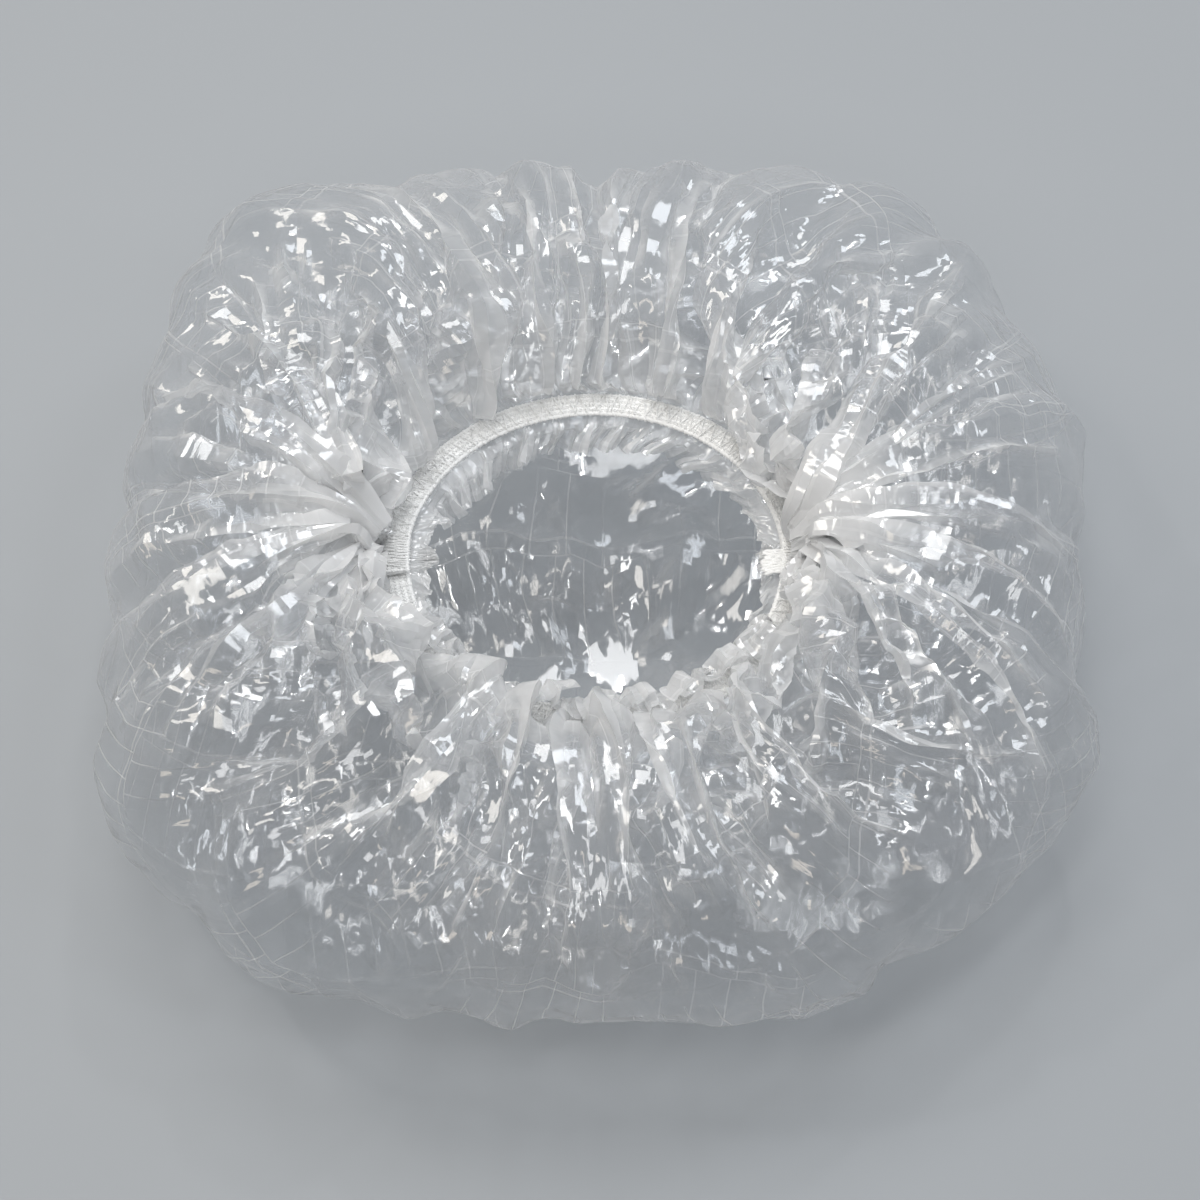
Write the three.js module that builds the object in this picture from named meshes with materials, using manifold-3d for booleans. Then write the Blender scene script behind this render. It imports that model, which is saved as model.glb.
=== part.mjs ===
// Disposable shower cap: one sheet of clear film, pleated and drawn in by two lengths of white
// knitted elastic, one along each long edge of the sheet. Each elastic is oversewn to the film
// with a zigzag thread, and a bar tack holds the two overlapping elastic ends at either side.
// The cap stands on its crown with the opening up, as it puffs out when it is first shaken open.
// Units are millimetres. +Z is up and +X runs from the left tack to the right tack. The origin
// is on the table, under the middle of the cap.

import * as THREE from "three";
import { mergeVertices } from "three/addons/utils/BufferGeometryUtils.js";
import Module from "manifold-3d";

const wasm = await Module();
wasm.setup();

// Film: size of the puffed cap, apart from its corners
const capWidth = 160;
const frontDepth = 71; // from the widest line to the front of the cap
const backDepth = 80; // from the widest line to the back of the cap
const crestHeight = 51.5;
const filmWall = 0.4; // a gathered stack of film; a single layer is 0.015 thick
const frontSquareness = 2.9; // exponents of the rounded-square plan: 2 is an ellipse
const backSquareness = 3.7;
const widestHeight = 22.5; // height of the fullest part of the side
const baseInset = 17; // how far the side tucks in to the crown's edge
const crestInset = 28; // from the outline in to the crest of the puff

// Corners of the puff that stand out of the even outline: direction and spread in degrees, and how
// far they stand out as a share of the largest
const cornerRise = 9;
const cornerShares = [
  [20, 10, 1 / 3],
  [60, 10, 1 / 3],
  [101, 8, 2 / 9],
  [131, 9, 1],
  [211, 10, 1 / 3],
  [235, 10, 1 / 3],
  [265, 14, 1 / 3],
  [296, 12, 1 / 2],
  [330, 12, 5 / 9],
];

// Main folds run from the elastic over the puff and down the side, with full panels between narrow
// valleys. Each valley has its direction in degrees and its depth as a share of the deepest.
const foldDepth = 6; // on the crest
const sideFoldDepth = 2.4; // on the widest line
const foldDepthUnderElastic = 1.6;
const frillFoldDepth = 2;
const ridgeShare = 1 / 4; // part of a fold's depth by which its panels stand out of the even form
const foldShares = [
  [4, 1],
  [22, 0.4],
  [34, 0.5],
  [46, 0.9],
  [59, 0.6],
  [74, 1],
  [90, 0.5],
  [103, 1],
  [116, 0.5],
  [138, 0.8],
  [149, 0.5],
  [160, 0.8],
  [174, 1],
  [186, 0.7],
  [198, 0.5],
  [222, 0.9],
  [242, 1],
  [253, 0.4],
  [264, 1],
  [277, 0.4],
  [289, 1],
  [308, 1],
  [324, 0.5],
  [346, 0.8],
];
const endGatherShare = 0.72; // how strongly the folds draw together at the two tacks

// Opening, on the middle line of the elastic
const openingWidth = 63;
const openingDepth = 58;
const openingHeight = 35;
const openingShift = 0.6; // the opening sits this much to the front of the widest line
const frillWidth = 3; // free edge of the film inside the elastic
const frillLift = 0.8;
const frillDrop = 2.4; // at the back the free edge hangs below the elastic
const frillRise = 3.6; // at the front it stands up inside it

// Elastic: flat knitted band
const elasticWidth = 4.5;
const elasticThickness = 1;
const elasticEdgeRound = 0.35;
const elasticOverlap = 7; // length on which the two elastics lie on each other
const elasticRise = 10; // length on which an end climbs onto the other elastic
const tailLength = 3; // free end of the front elastic, turned into the opening
const tailDroop = 0.9;
const tailOffset = 1.6; // the tail points in a little to the front of the tack

// Thread
const threadThickness = 0.3;
const zigzagPitch = 2;
const zigzagMargin = 0.5; // from the elastic's edge to the turn of the thread
const zigzagFlatShare = 0.3; // part of a half pitch that runs along the edge
const tackLength = 5;
const tackTurns = 6;

// Clearance between pieces that rest on each other, and beside the elastic's edges
const seatGap = 0.3;
const edgeClearance = 0.8;

// The even form lies between the panels and the valleys of the folds
const halfWidth = capWidth / 2 - ridgeShare * sideFoldDepth;
const widestLineY = (frontDepth - backDepth) / 2;
const openingCentreY = widestLineY - openingShift;
const fullTurn = 2 * Math.PI;
const up = new THREE.Vector3(0, 0, 1);
const down = new THREE.Vector3(0, 0, -1);

// How far the corners stand out in a direction
function cornerOffset(angle) {
  const degrees = THREE.MathUtils.radToDeg(angle);
  let offset = 0;
  for (const [direction, spread, share] of cornerShares) {
    const away = THREE.MathUtils.euclideanModulo(degrees - direction + 180, 360) - 180;
    offset += cornerRise * share * Math.exp(-((away / spread) ** 2));
  }
  return offset;
}

// A point of the cap's plan outline, drawn in by inset, where the corners fade as well
function outlinePoint(angle, inset) {
  const c = Math.cos(angle);
  const s = Math.sin(angle);
  const width = halfWidth - inset;
  const depth = (s < 0 ? frontDepth : backDepth) - inset;
  const backShare = THREE.MathUtils.smoothstep(s, -1 / 2, 1 / 2);
  const exponent = THREE.MathUtils.lerp(frontSquareness, backSquareness, backShare);
  const sum = Math.abs(c / width) ** exponent + Math.abs(s / depth) ** exponent;
  const radius = sum ** (-1 / exponent) + cornerOffset(angle) * (1 - inset / crestInset);
  return new THREE.Vector2(radius * c, widestLineY + radius * s);
}

// The angle at which a fold that leaves the outline at outlineAngle reaches the elastic
function openingAngle(outlineAngle) {
  return outlineAngle - (endGatherShare * Math.sin(2 * outlineAngle)) / 2;
}

// Outward direction of the opening's oval
function openingNormal(angle) {
  return new THREE.Vector2(openingDepth * Math.cos(angle), openingWidth * Math.sin(angle)).normalize();
}

// A point of the opening, at offset outside the elastic's middle line
function openingPoint(angle, offset) {
  const x = (openingWidth / 2) * Math.cos(angle);
  const y = openingCentreY + (openingDepth / 2) * Math.sin(angle);
  return new THREE.Vector2(x, y).addScaledVector(openingNormal(angle), offset);
}

// Stations of the film, from its free edge to the middle of the crown. Each has a place along
// the section, at a fold's angle on the outline, and the depth of the fold there.
const elasticSeat = elasticWidth / 2 + edgeClearance;
const shortArcShares = [1 / 3, 2 / 3, 1];
const longArcShares = [1 / 4, 1 / 2, 3 / 4, 1];

function station(point, depth) {
  return { point, depth };
}

function underElastic(offset) {
  return station((angle) => {
    const p = openingPoint(openingAngle(angle), offset);
    return new THREE.Vector3(p.x, p.y, openingHeight);
  }, foldDepthUnderElastic);
}

// The free edge of the film, inside the elastic
function freeEdge() {
  return station((angle) => {
    const turn = openingAngle(angle);
    const back = THREE.MathUtils.smoothstep(Math.sin(turn), 0, 1 / 2);
    const front = THREE.MathUtils.smoothstep(-Math.sin(turn), 1 / 4, 3 / 4);
    const p = openingPoint(turn, -elasticSeat - frillWidth * (1 - (2 * front) / 3));
    const lift = frillLift - (frillLift + frillDrop) * back + frillRise * front;
    return new THREE.Vector3(p.x, p.y, openingHeight + lift);
  }, frillFoldDepth);
}

// Rising part of the puff, a quarter ellipse from the elastic to the crest
function risingStation(share) {
  const turn = (share * Math.PI) / 2;
  return station((angle) => {
    const seat = openingPoint(openingAngle(angle), elasticSeat);
    const p = seat.lerp(outlinePoint(angle, crestInset), 1 - Math.cos(turn));
    return new THREE.Vector3(p.x, p.y, openingHeight + (crestHeight - openingHeight) * Math.sin(turn));
  }, THREE.MathUtils.lerp(foldDepthUnderElastic, foldDepth, share));
}

// Falling part of the puff, a quarter ellipse from the crest to the widest line
function fallingStation(share) {
  const turn = (share * Math.PI) / 2;
  return station((angle) => {
    const p = outlinePoint(angle, crestInset * (1 - Math.sin(turn)));
    return new THREE.Vector3(p.x, p.y, widestHeight + (crestHeight - widestHeight) * Math.cos(turn));
  }, THREE.MathUtils.lerp(foldDepth, sideFoldDepth, share));
}

// Side, tucked in from the widest line to the flat crown
function tuckedStation(share) {
  const turn = (share * Math.PI) / 2;
  return station((angle) => {
    const p = outlinePoint(angle, baseInset * (1 - Math.cos(turn)));
    return new THREE.Vector3(p.x, p.y, widestHeight * (1 - Math.sin(turn)));
  }, sideFoldDepth * (1 - share));
}

const stations = [
  freeEdge(),
  underElastic(-elasticSeat),
  underElastic(elasticSeat),
  ...shortArcShares.map(risingStation),
  ...longArcShares.map(fallingStation),
  ...shortArcShares.map(tuckedStation),
];

// Columns of the film: a valley and the middle of the panel after it, in turn
const columns = foldShares.flatMap(([direction, share], k) => {
  const [nextDirection, nextShare] = foldShares[(k + 1) % foldShares.length];
  const gap = THREE.MathUtils.euclideanModulo(nextDirection - direction, 360);
  return [
    { angle: THREE.MathUtils.degToRad(direction), rise: (ridgeShare - 1) * share },
    { angle: THREE.MathUtils.degToRad(direction + gap / 2), rise: (ridgeShare * (share + nextShare)) / 2 },
  ];
});

// Outward direction of the smooth film at a station, by differences between its neighbours
function filmNormal(row, angle) {
  if (stations[row].point(angle).z === 0) return down.clone();
  const step = fullTurn / columns.length;
  const along = stations[row]
    .point(angle + step)
    .sub(stations[row].point(angle - step));
  const before = stations[Math.max(row - 1, 0)].point(angle);
  const after = stations[Math.min(row + 1, stations.length - 1)].point(angle);
  return after.sub(before).cross(along).normalize();
}

// The film: an outer and an inner skin of the same folds, joined at the free edge
function filmGeometry() {
  const points = [];
  const faces = [];
  const rowCount = stations.length;
  for (const wall of [0, filmWall]) {
    for (let row = 0; row < rowCount; row++) {
      for (const { angle, rise } of columns) {
        const offset = rise * stations[row].depth - wall;
        points.push(stations[row].point(angle).addScaledVector(filmNormal(row, angle), offset));
      }
    }
    points.push(new THREE.Vector3(0, widestLineY, wall));
  }
  const columnCount = columns.length;
  const skinSize = rowCount * columnCount + 1;
  const at = (skin, row, column) => skin * skinSize + row * columnCount + (column % columnCount);
  const centre = (skin) => skin * skinSize + skinSize - 1;
  for (let column = 0; column < columnCount; column++) {
    for (let row = 0; row < rowCount - 1; row++) {
      const outer = [at(0, row, column), at(0, row + 1, column)];
      const outerNext = [at(0, row, column + 1), at(0, row + 1, column + 1)];
      faces.push([outer[0], outer[1], outerNext[1]], [outer[0], outerNext[1], outerNext[0]]);
      const inner = [at(1, row, column), at(1, row + 1, column)];
      const innerNext = [at(1, row, column + 1), at(1, row + 1, column + 1)];
      faces.push([inner[0], innerNext[1], inner[1]], [inner[0], innerNext[0], innerNext[1]]);
    }
    const last = rowCount - 1;
    faces.push([at(0, last, column), centre(0), at(0, last, column + 1)]);
    faces.push([at(1, last, column), at(1, last, column + 1), centre(1)]);
    const lip = [at(0, 0, column), at(0, 0, column + 1)];
    const lipInside = [at(1, 0, column), at(1, 0, column + 1)];
    faces.push([lip[0], lip[1], lipInside[1]], [lip[0], lipInside[1], lipInside[0]]);
  }
  return indexedGeometry(points, faces);
}

function indexedGeometry(points, faces) {
  const geometry = new THREE.BufferGeometry().setFromPoints(points);
  geometry.setIndex(faces.flat());
  geometry.computeVertexNormals();
  return geometry;
}

// A closed bar along a path. Each path point has a place, the direction of the bar's width and
// the direction of its height, which point right and up to someone who looks along the path.
// The section is a list of [across, high] corners, anticlockwise to that same person.
function sweep(path, section) {
  const points = path.flatMap(({ place, side, top }) =>
    section.map(([across, high]) =>
      place.clone().addScaledVector(side, across).addScaledVector(top, high),
    ),
  );
  const count = section.length;
  const faces = [];
  for (let i = 0; i + 1 < path.length; i++) {
    for (let k = 0; k < count; k++) {
      const next = (k + 1) % count;
      const [a, b] = [i * count + k, i * count + next];
      faces.push([a, b + count, b], [a, a + count, b + count]);
    }
  }
  const last = (path.length - 1) * count;
  for (let k = 1; k + 1 < count; k++) {
    faces.push([0, k, k + 1], [last, last + k + 1, last + k]);
  }
  return indexedGeometry(points, faces);
}

function roundedSection(width, height, round) {
  const [w, h] = [width / 2, height / 2];
  return [
    [w - round, -h],
    [w, round - h],
    [w, h - round],
    [w - round, h],
    [round - w, h],
    [-w, h - round],
    [-w, round - h],
    [round - w, -h],
  ];
}

// Each elastic runs anticlockwise round half of the opening. Its first end lies on the film and
// its last end lies on the other elastic's first end.
const stackHeight = elasticThickness + seatGap;
const elasticBottom = openingHeight + ridgeShare * foldDepthUnderElastic + seatGap;
const endRadius = openingDepth ** 2 / 2 / openingWidth; // of the opening's curve at a tack
const overlapAngle = elasticOverlap / 2 / (openingDepth / 2);
const riseAngle = elasticRise / (openingDepth / 2);
const elasticSteps = 40;

function elasticLift(angle, start) {
  const end = start + Math.PI;
  return stackHeight * THREE.MathUtils.smoothstep(angle, end - overlapAngle - riseAngle, end - overlapAngle);
}

function elasticFrame(angle, start) {
  const p = openingPoint(angle, 0);
  const normal = openingNormal(angle);
  const z = elasticBottom + elasticThickness / 2 + elasticLift(angle, start);
  return { place: new THREE.Vector3(p.x, p.y, z), side: new THREE.Vector3(normal.x, normal.y, 0), top: up };
}

function elasticGeometry(start) {
  const path = [];
  for (let i = 0; i <= elasticSteps; i++) {
    const angle = start - overlapAngle + ((Math.PI + 2 * overlapAngle) * i) / elasticSteps;
    path.push(elasticFrame(angle, start));
  }
  return sweep(path, roundedSection(elasticWidth, elasticThickness, elasticEdgeRound));
}

// The free end of the front elastic, folded over at the right tack to point into the opening
function tailGeometry() {
  const rootX = openingWidth / 2 + elasticWidth / 2;
  const rootY = openingCentreY - tailOffset;
  const rootZ = elasticBottom + elasticThickness / 2 + stackHeight;
  const reach = elasticWidth + tailLength;
  const path = [];
  const tailSteps = 8;
  for (let i = 0; i <= tailSteps; i++) {
    const share = i / tailSteps;
    const free = Math.max(share * reach - elasticWidth, 0) / tailLength;
    const slope = Math.atan2(2 * free * tailDroop, tailLength);
    path.push({
      place: new THREE.Vector3(rootX - share * reach, rootY, rootZ - tailDroop * free ** 2),
      side: new THREE.Vector3(0, 1, 0),
      top: new THREE.Vector3(-Math.sin(slope), 0, Math.cos(slope)),
    });
  }
  return sweep(path, roundedSection(elasticWidth, elasticThickness, elasticEdgeRound));
}

// A thread is a few tenths of a millimetre thick, so four corners are enough
function threadSection() {
  const half = threadThickness / 2;
  return [
    [0, -half],
    [half, 0],
    [0, half],
    [-half, 0],
  ];
}

// Thread laid in a flat zigzag. along(distance, across) gives a point on the thing it is sewn to.
function zigzagGeometry(length, pitch, reachAcross, along) {
  const corners = [];
  const halfCount = Math.floor((2 * length) / pitch);
  for (let i = 0; i < halfCount; i++) {
    const across = i % 2 === 0 ? reachAcross : -reachAcross;
    const from = (i * pitch) / 2;
    corners.push(along(from, across), along(from + (zigzagFlatShare * pitch) / 2, across));
  }
  const path = corners.map((place, i) => {
    const before = place.clone().sub(corners[Math.max(i - 1, 0)]).setZ(0).normalize();
    const after = corners[Math.min(i + 1, corners.length - 1)].clone().sub(place).setZ(0).normalize();
    const run = before.clone().add(after).normalize();
    const mitre = 1 / Math.max(run.dot(i === 0 ? after : before), Math.SQRT1_2);
    return { place, side: new THREE.Vector3().crossVectors(run, up).multiplyScalar(mitre), top: up };
  });
  return sweep(path, threadSection());
}

const zigzagReach = elasticWidth / 2 - zigzagMargin;

function threadAbove(angle, start, across) {
  const { place, side } = elasticFrame(angle, start);
  const height = elasticThickness / 2 + seatGap + threadThickness / 2;
  return place.addScaledVector(side, across).addScaledVector(up, height);
}

// The zigzag starts clear of the end that the other elastic covers, and stops short of the tack
function seamThreadGeometry(start) {
  const radius = (openingWidth + openingDepth) / 4;
  const clearAngle = overlapAngle + riseAngle;
  const tackAngle = (tackLength / 2 + zigzagPitch) / radius;
  const from = start + clearAngle;
  const length = (start + Math.PI - tackAngle - from) * radius;
  return zigzagGeometry(length, zigzagPitch, zigzagReach, (distance, across) =>
    threadAbove(from + distance / radius, start, across),
  );
}

// A short dense zigzag over the two elastic ends, centred on the tack
function tackGeometry(start, lift) {
  const pitch = tackLength / tackTurns;
  const end = start + Math.PI;
  return zigzagGeometry(tackLength, pitch, zigzagReach, (distance, across) =>
    threadAbove(end + (distance - tackLength / 2) / endRadius, start, across).addScaledVector(up, lift),
  );
}

function solidOf(geometry) {
  const bare = geometry.clone();
  bare.deleteAttribute("normal");
  bare.deleteAttribute("uv");
  const merged = mergeVertices(bare);
  return new wasm.Manifold(
    new wasm.Mesh({
      numProp: 3,
      vertProperties: merged.attributes.position.array,
      triVerts: new Uint32Array(merged.index.array),
    }),
  );
}

function geometryOf(solid) {
  const mesh = solid.getMesh();
  const geometry = new THREE.BufferGeometry();
  geometry.setAttribute("position", new THREE.BufferAttribute(mesh.vertProperties, 3));
  geometry.setIndex(new THREE.BufferAttribute(mesh.triVerts, 1));
  geometry.computeVertexNormals();
  return geometry;
}

const clearFilm = new THREE.MeshStandardMaterial({
  color: 0xe6eaee,
  roughness: 0.18,
  metalness: 0,
  transparent: true,
  opacity: 0.35,
});
const whiteElastic = new THREE.MeshStandardMaterial({ color: 0xf2f1ee, roughness: 0.85, metalness: 0 });
const whiteThread = new THREE.MeshStandardMaterial({ color: 0xfafaf8, roughness: 0.6, metalness: 0 });

const cap = new THREE.Group();

function addPiece(name, geometry, material) {
  const mesh = new THREE.Mesh(geometry, material);
  mesh.name = name;
  cap.add(mesh);
}

const backStart = 0;
const frontStart = Math.PI;
const frontElastic = solidOf(elasticGeometry(frontStart)).add(solidOf(tailGeometry()));

addPiece("film_cap", filmGeometry(), clearFilm);
addPiece("elastic_back", elasticGeometry(backStart), whiteElastic);
addPiece("elastic_front", geometryOf(frontElastic), whiteElastic);
addPiece("seam_thread_back", seamThreadGeometry(backStart), whiteThread);
addPiece("seam_thread_front", seamThreadGeometry(frontStart), whiteThread);
addPiece("bar_tack_left", tackGeometry(backStart, 0), whiteThread);
addPiece("bar_tack_right", tackGeometry(frontStart, 0), whiteThread);

// The corners and the irregular folds leave the film's box a little off centre
const box = new THREE.Box3().setFromObject(cap);
const middle = box.getCenter(new THREE.Vector3());
cap.position.set(-middle.x, -middle.y, -box.min.z);

export default cap;
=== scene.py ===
"""A disposable shower cap of clear film with a white elastic rim, lying on its crown.

The film is worked out as the real one is made: a flat sheet whose two long edges are drawn in by
elastic and whose ends are gathered at two tacks. A short relaxation of the sheet over the puffed
form gives its folds.
"""

import math

import bmesh
import bpy
import numpy as np
from mathutils import Matrix, Vector


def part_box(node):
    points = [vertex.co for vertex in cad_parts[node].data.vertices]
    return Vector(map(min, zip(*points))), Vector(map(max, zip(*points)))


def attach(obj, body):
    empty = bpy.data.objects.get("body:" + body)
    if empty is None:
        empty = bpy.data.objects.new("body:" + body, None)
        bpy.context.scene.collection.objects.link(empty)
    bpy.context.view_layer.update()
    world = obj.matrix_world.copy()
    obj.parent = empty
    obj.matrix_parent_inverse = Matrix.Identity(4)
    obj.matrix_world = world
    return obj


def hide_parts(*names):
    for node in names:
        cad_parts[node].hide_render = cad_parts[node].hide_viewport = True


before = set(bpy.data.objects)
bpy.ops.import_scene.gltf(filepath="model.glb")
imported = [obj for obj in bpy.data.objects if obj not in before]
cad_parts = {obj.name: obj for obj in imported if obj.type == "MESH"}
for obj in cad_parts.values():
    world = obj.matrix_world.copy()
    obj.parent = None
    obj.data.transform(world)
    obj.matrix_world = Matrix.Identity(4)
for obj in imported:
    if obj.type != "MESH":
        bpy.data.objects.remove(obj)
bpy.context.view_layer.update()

MM = 0.001
TAU = 2 * math.pi


def linear(hex_colour):
    """sRGB hex to the linear colour that shader sockets take."""
    parts = [int(hex_colour[i : i + 2], 16) / 255 for i in (1, 3, 5)]
    return tuple(c / 12.92 if c <= 0.04045 else ((c + 0.055) / 1.055) ** 2.4 for c in parts)


# Camera: the photograph is taken from the front, looking down at 60 degrees

CAMERA_ELEVATION = math.radians(60)
CAMERA_DISTANCE = 416 * MM
CAMERA_AIM = Vector((-0.1, -3.4, 20.5)) * MM
CAMERA_LENS = 76.3


def make_camera():
    data = bpy.data.cameras.new("camera")
    data.lens = CAMERA_LENS
    data.sensor_width = 36
    data.clip_start = 0.01
    camera = bpy.data.objects.new("camera", data)
    back = Vector((0, -math.cos(CAMERA_ELEVATION), math.sin(CAMERA_ELEVATION)))
    camera.location = CAMERA_AIM + back * CAMERA_DISTANCE
    camera.rotation_euler = (-back).to_track_quat("-Z", "Y").to_euler()
    bpy.context.collection.objects.link(camera)
    bpy.context.scene.camera = camera


make_camera()

# Sizes of the cap, in millimetres

CAP_WIDTH = 160
FRONT_DEPTH = 71  # from the widest line to the front of the cap
BACK_DEPTH = 80
WIDEST_LINE_Y = (FRONT_DEPTH - BACK_DEPTH) / 2
FRONT_SQUARENESS = 2.9  # exponents of the rounded-square plan: 2 is an ellipse
BACK_SQUARENESS = 3.7
CREST_HEIGHT = 51.5
WIDEST_HEIGHT = 22.5  # height of the fullest part of the side
BASE_INSET = 17  # how far the side tucks in to the crown's edge
CREST_INSET = 28  # from the outline in to the crest of the puff
SIDE_FOLD = 2.4  # depth of the main folds on the widest line
PUFF_ROOM = 0.4  # how far the puffs between the folds stand out of the even outline

OPENING_WIDTH = 63
OPENING_DEPTH = 58
OPENING_HEIGHT = 35
OPENING_CENTRE_Y = WIDEST_LINE_Y - 0.6

ELASTIC_WIDTH = 4.5
ELASTIC_THICKNESS = 1
ELASTIC_BOTTOM = 35.7
ELASTIC_OVERLAP = 7  # length on which the two elastics lie on each other
ELASTIC_RISE = 10  # length on which an end climbs onto the other elastic
STACK_HEIGHT = 1.3  # how far it climbs
TAIL_LENGTH = 3  # free end of the front elastic, turned into the opening
TAIL_DROOP = 0.9
TAIL_OFFSET = 1.6  # the tail points in a little to the front of the tack
TACK_LENGTH = 5

SEAT = 3.05  # half of the width on which the film lies flat under the elastic
FRILL = 1.6  # free edge of the film inside the elastic, at the tacks
FRILL_LIFT = 0.8  # there it stands up a little
FRILL_DROP = 3.2  # at the back it hangs down
FRILL_RISE = 2.8  # at the front it stands up higher,
FRILL_LEAN = 1.2  # and leans out over the elastic
OVER_ELASTIC = 38.2  # lowest height at which film may lie over the elastic

SHEET_LENGTH = 350  # of the flat sheet, from tack to tack
SHEET_WIDTH = 344

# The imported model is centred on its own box, which moves the opening a little
elastic_low, elastic_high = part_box("elastic_back")
CAP_SHIFT = np.array(
    [
        (elastic_low[0] + elastic_high[0]) / 2 / MM,
        elastic_high[1] / MM - OPENING_CENTRE_Y - OPENING_DEPTH / 2 - ELASTIC_WIDTH / 2,
        elastic_low[2] / MM - ELASTIC_BOTTOM,
    ]
)


def smoothstep(x, start, end):
    t = np.clip((x - start) / (end - start), 0, 1)
    return t * t * (3 - 2 * t)


# Where the puff leans in over the elastic: direction and width in degrees, and how far
LEANS = ((20, 22, 10.5), (225, 28, 0.8), (268, 30, 0.5), (318, 28, 0.8))
FRONT_SLOPE = 0.8  # share of an even slope in the puff's inner side at the front


def around(angle, places):
    """Sum of rounded bumps, each given by its direction and width in degrees and its height."""
    total = np.zeros_like(angle)
    for direction, width, height in places:
        gap = (angle - math.radians(direction) + math.pi) % TAU - math.pi
        total = total + height * np.exp(-((gap / math.radians(width)) ** 2))
    return total


# Corners of the puff, and a flat stretch: direction and width in degrees, and how far out of the outline
CORNERS = (
    (131, 9, 9.0), (60, 10, 5.0), (14, 11, 4.5), (332, 10, 3.5), (312, 10, -4.0), (208, 10, 5.0),
    (235, 10, 3.0), (265, 14, 3.0), (292, 9, 3.5), (101, 8, 2.0),
)


def outline_point(angle, inset):
    """A point of the rounded-square plan of the cap, drawn in by inset."""
    c, s = np.cos(angle), np.sin(angle)
    width = (CAP_WIDTH - SIDE_FOLD) / 2 - PUFF_ROOM - inset
    depth = np.where(s < 0, FRONT_DEPTH, BACK_DEPTH) - PUFF_ROOM - inset
    exponent = FRONT_SQUARENESS + (BACK_SQUARENESS - FRONT_SQUARENESS) * smoothstep(s, -0.5, 0.5)
    radius = (np.abs(c / width) ** exponent + np.abs(s / depth) ** exponent) ** (-1 / exponent)
    radius = radius + around(angle, CORNERS) * (1 - inset / CREST_INSET)
    return np.stack([radius * c, WIDEST_LINE_Y + radius * s], -1)


def opening_point(angle, offset):
    c, s = np.cos(angle), np.sin(angle)
    normal = np.stack([OPENING_DEPTH * c, OPENING_WIDTH * s], -1)
    normal /= np.linalg.norm(normal, axis=-1, keepdims=True)
    middle = np.stack([OPENING_WIDTH / 2 * c, OPENING_CENTRE_Y + OPENING_DEPTH / 2 * s], -1)
    return middle + normal * np.asarray(offset)[..., None]


# The sheet's two ends are gathered into the tacks, each within this angle of the opening
TACK_ANGLE = math.radians(5)


def opening_angle(theta):
    """Where on the opening the fold lies that leaves the sheet's middle in direction theta."""
    quarter = np.abs((theta + math.pi / 2) % math.pi - math.pi / 2)  # 0 at a tack, pi/2 at front and back
    end = TACK_ANGLE * quarter / (math.pi / 4)
    along = TACK_ANGLE + (math.pi / 2 - TACK_ANGLE) * (1 - math.sqrt(2) * np.cos(quarter))
    rim = np.where(quarter < math.pi / 4, end, along)
    return theta + np.sign(np.sin(2 * theta)) * (rim - quarter)


def with_height(plan, height):
    return np.concatenate([plan, np.broadcast_to(height, plan.shape[:-1])[..., None]], -1)


def envelope_table(thetas, steps):
    """The smooth puffed form: for each direction, points evenly spaced from free edge to middle,
    and the share of the way to the middle at which the film passes under the elastic."""
    rim = opening_angle(thetas)
    seat = opening_point(rim, SEAT)
    back = smoothstep(np.sin(rim), 0.1, 0.5)
    front = smoothstep(-np.sin(rim), 0.2, 0.6)
    edge_in = -SEAT - FRILL + front * (FRILL + SEAT + FRILL_LEAN)
    edge_height = OPENING_HEIGHT + FRILL_LIFT - back * (FRILL_DROP + FRILL_LIFT) + front * FRILL_RISE
    # close inside the seat the frill has turned part of the way up or down
    turn_in = front * 0.6 - SEAT - 0.8
    turn_height = OPENING_HEIGHT + 0.3 - back + front * 2.1
    rows = [
        with_height(opening_point(rim, edge_in), edge_height),
        with_height(opening_point(rim, turn_in), turn_height),
        with_height(opening_point(rim, -SEAT), OPENING_HEIGHT),
        with_height(seat, OPENING_HEIGHT),
    ]
    lean = (seat - opening_point(rim, SEAT - 1)) * around(rim, LEANS)[:, None]
    turns = np.linspace(0, math.pi / 2, 25)[1:]
    for t in turns:
        # the puff's inner side rises steeply at the back, and slopes more evenly at the front
        out = (1 - math.cos(t) + front * (2 * t / math.pi - 1 + math.cos(t)) * FRONT_SLOPE)[:, None]
        plan = seat + (outline_point(thetas, CREST_INSET) - seat) * out - lean * math.sin(2 * t) ** 2
        rows.append(with_height(plan, OPENING_HEIGHT + (CREST_HEIGHT - OPENING_HEIGHT) * math.sin(t)))
    for t in turns:
        plan = outline_point(thetas, CREST_INSET * (1 - math.sin(t)))
        rows.append(with_height(plan, WIDEST_HEIGHT + (CREST_HEIGHT - WIDEST_HEIGHT) * math.cos(t)))
    for t in turns:
        plan = outline_point(thetas, BASE_INSET * (1 - math.cos(t)))
        rows.append(with_height(plan, WIDEST_HEIGHT * (1 - math.sin(t))))
    edge = outline_point(thetas, BASE_INSET)
    middle = np.array([0, WIDEST_LINE_Y])
    for share in np.linspace(0, 1, 20)[1:]:
        rows.append(with_height(edge + (middle - edge) * share, 0))
    line = np.array(rows)
    pieces = np.linalg.norm(np.diff(line, axis=0), axis=-1)
    run = np.concatenate([np.zeros((1, len(thetas))), np.cumsum(pieces, 0)])
    even = np.linspace(0, 1, steps)
    table = np.empty((len(thetas), steps, 3))
    for k in range(len(thetas)):
        for axis in range(3):
            table[k, :, axis] = np.interp(even * run[-1, k], run[:, k], line[:, k, axis])
    return table, (run[2] + run[3]) / 2 / run[-1]


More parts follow.
